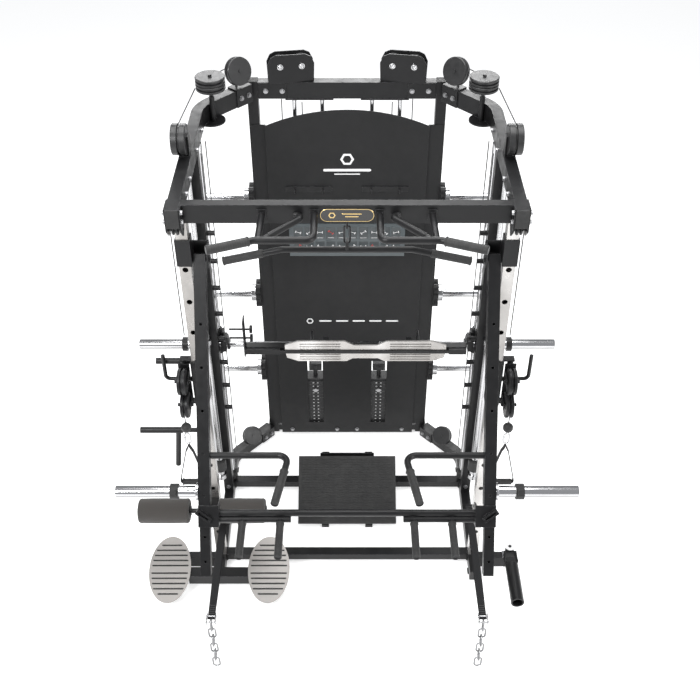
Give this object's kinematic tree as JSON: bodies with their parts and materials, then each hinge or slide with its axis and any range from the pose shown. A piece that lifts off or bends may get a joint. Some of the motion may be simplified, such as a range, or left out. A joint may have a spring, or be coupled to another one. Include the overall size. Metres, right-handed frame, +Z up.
{
  "type": "smith machine",
  "caption": "Free-standing smith machine cage with guided bar, cable trainer arms, press arms, weight stacks behind a shroud, pull-up grips, footplate and floor attachments.",
  "frame": {"origin": "on the floor, on the plane midway between the two side frames, under the point where the depth axis is zero about 0.35 m behind the front columns", "axes": "+X to the machine's right as seen from the front, +Y to the rear, +Z up"},
  "size_m": [2.086, 1.8142, 2.4032],
  "materials": {
    "black_steel": "fine texture powder coat",
    "silver_steel": "satin powder coat",
    "shroud": "satin powder coat",
    "chrome": "polished",
    "bright_steel": "turned",
    "rubber": "matt",
    "plastic": "moulded",
    "board": "satin print",
    "foam": "closed-cell foam",
    "webbing": "woven",
    "plate_iron": "painted casting",
    "gold_trim": "gloss"
  },
  "bodies": {
    "frame": {"accessory_hooks": "black_steel", "back_panel": "shroud", "base_crossbars": "black_steel", "base_rail_left": "black_steel", "base_rail_right": "black_steel", "cables": "bright_steel", "exercise_board": "board", "feet_and_caps": "rubber", "fixed_pulleys": "plastic", "foot_pedals": "silver_steel", "footplate": "black_steel", "frame_bolts": "bright_steel", "front_columns": "silver_steel", "front_top_beam": "black_steel", "guide_rods": "chrome", "landmine_base": "bright_steel", "middle_uprights": "black_steel", "nameplate": "gold_trim", "plate_horns": "chrome", "pull_up_bars": "black_steel", "pull_up_grips": "rubber", "pulley_housings": "black_steel", "rear_top_beam": "black_steel", "rear_uprights": "black_steel", "resting_plates": "plate_iron", "safety_straps": "webbing", "squat_attachment": "black_steel", "storage_bar": "black_steel", "top_side_beam_left": "black_steel", "top_side_beam_right": "black_steel"},
    "smith_unit": {"smith_carriages": "black_steel"},
    "smith_bar": {"smith_bar": "chrome", "bar_fittings": "black_steel", "leg_press_plate": "silver_steel", "leg_press_tube": "black_steel"},
    "press_carriages": {"arm_carriages": "black_steel"},
    "press_arms": {"press_arms": "black_steel", "press_grips": "rubber", "press_sleeves": "chrome", "sleeve_collars": "rubber"},
    "arm_extensions": {"arm_extensions": "silver_steel"},
    "top_pulleys": {"top_pulleys": "plastic"},
    "lat_bar": {"lat_bar": "bright_steel", "lat_grips": "rubber"},
    "foam_rollers": {"foam_rollers": "foam"},
    "landmine_yoke": {"landmine_yoke": "black_steel"},
    "landmine_tube": {"landmine_tube": "black_steel"},
    "chains": {"chains": "bright_steel"},
    "stack_left": {"lifted_stack_left": "plate_iron"},
    "selector_pin_left": {"selector_pin_left": "chrome"},
    "trainer_left": {"trainer_carriage_left": "black_steel"},
    "release_lever_left": {"release_lever_left": "bright_steel"},
    "swivel_left": {"trainer_swivel_left": "black_steel"},
    "handle_left": {"trainer_handle_left": "webbing"},
    "stack_right": {"lifted_stack_right": "plate_iron"},
    "selector_pin_right": {"selector_pin_right": "chrome"},
    "trainer_right": {"trainer_carriage_right": "black_steel"},
    "release_lever_right": {"release_lever_right": "bright_steel"},
    "swivel_right": {"trainer_swivel_right": "black_steel"},
    "handle_right": {"trainer_handle_right": "webbing"}
  },
  "joints": [
    {"name": "smith_slide", "type": "slide", "parent": "frame", "child": "smith_unit", "axis": [0, 0, 1], "range_m": [-0.65, 0.75]},
    {"name": "smith_bar_turn", "type": "hinge", "parent": "smith_unit", "child": "smith_bar", "pos_m": [0, 0.147, 1.078], "axis": [1, 0, 0], "range_deg": [-15, 45]},
    {"name": "stack_right_lift", "type": "slide", "parent": "frame", "child": "stack_right", "axis": [0, 0, 1], "range_m": [0, 1.2]},
    {"name": "selector_pin_right_turn", "type": "hinge", "parent": "stack_right", "child": "selector_pin_right", "pos_m": [0.184, 0.62, 0.3525], "axis": [0, -1, 0], "continuous": true},
    {"name": "trainer_right_slide", "type": "slide", "parent": "frame", "child": "trainer_right", "axis": [0, 0, 1], "range_m": [-0.28, 0.11]},
    {"name": "release_lever_right_pull", "type": "slide", "parent": "trainer_right", "child": "release_lever_right", "axis": [1, 0, 0], "range_m": [0, 0.012]},
    {"name": "swivel_right_turn", "type": "hinge", "parent": "trainer_right", "child": "swivel_right", "pos_m": [0.728, -0.346, 1.27], "axis": [0, 0, 1], "range_deg": [-10, 45]},
    {"name": "handle_right_swing", "type": "hinge", "parent": "swivel_right", "child": "handle_right", "pos_m": [0.728, -0.4855, 1.196], "axis": [-1, 0, 0], "range_deg": [0, 25]},
    {"name": "stack_left_lift", "type": "slide", "parent": "frame", "child": "stack_left", "axis": [0, 0, 1], "range_m": [0, 1.2]},
    {"name": "selector_pin_left_turn", "type": "hinge", "parent": "stack_left", "child": "selector_pin_left", "pos_m": [-0.184, 0.62, 0.3525], "axis": [0, -1, 0], "continuous": true},
    {"name": "trainer_left_slide", "type": "slide", "parent": "frame", "child": "trainer_left", "axis": [0, 0, 1], "range_m": [-0.15, 0.11]},
    {"name": "release_lever_left_pull", "type": "slide", "parent": "trainer_left", "child": "release_lever_left", "axis": [-1, 0, 0], "range_m": [0, 0.012]},
    {"name": "swivel_left_turn", "type": "hinge", "parent": "trainer_left", "child": "swivel_left", "pos_m": [-0.728, -0.346, 1.27], "axis": [0, 0, -1], "range_deg": [-10, 45]},
    {"name": "handle_left_swing", "type": "hinge", "parent": "swivel_left", "child": "handle_left", "pos_m": [-0.728, -0.4855, 1.196], "axis": [-1, 0, 0], "range_deg": [0, 25]},
    {"name": "press_carriages_slide", "type": "slide", "parent": "frame", "child": "press_carriages", "axis": [0, 0, 1], "range_m": [-0.165, 0.1]},
    {"name": "press_arms_lift", "type": "hinge", "parent": "press_carriages", "child": "press_arms", "pos_m": [0, -0.335, 1.924], "axis": [-1, 0, 0], "range_deg": [0, 85]},
    {"name": "arm_extensions_slide", "type": "slide", "parent": "press_arms", "child": "arm_extensions", "axis": [0, -0.5255, -0.8508], "range_m": [0, 0.15]},
    {"name": "top_pulleys_turn", "type": "hinge", "parent": "frame", "child": "top_pulleys", "pos_m": [0, -0.074, 2.33], "axis": [1, 0, 0], "continuous": true},
    {"name": "lat_bar_swing", "type": "hinge", "parent": "frame", "child": "lat_bar", "pos_m": [0, -0.455, 2.1588], "axis": [-1, 0, 0], "range_deg": [-30, 30]},
    {"name": "foam_rollers_turn", "type": "hinge", "parent": "frame", "child": "foam_rollers", "pos_m": [-0.717, -0.44, 0.49], "axis": [1, 0, 0], "continuous": true},
    {"name": "landmine_yaw", "type": "hinge", "parent": "frame", "child": "landmine_yoke", "pos_m": [0.851, -0.382, 0.112], "axis": [0, 0, 1], "range_deg": [-30, 30]},
    {"name": "landmine_pitch", "type": "hinge", "parent": "landmine_yoke", "child": "landmine_tube", "pos_m": [0.851, -0.45, 0.112], "axis": [-1, 0, 0], "range_deg": [0, 40]},
    {"name": "chains_swing", "type": "hinge", "parent": "frame", "child": "chains", "pos_m": [0, -1.03, 0.403], "axis": [-1, 0, 0], "range_deg": [-12, 12]}
  ]
}
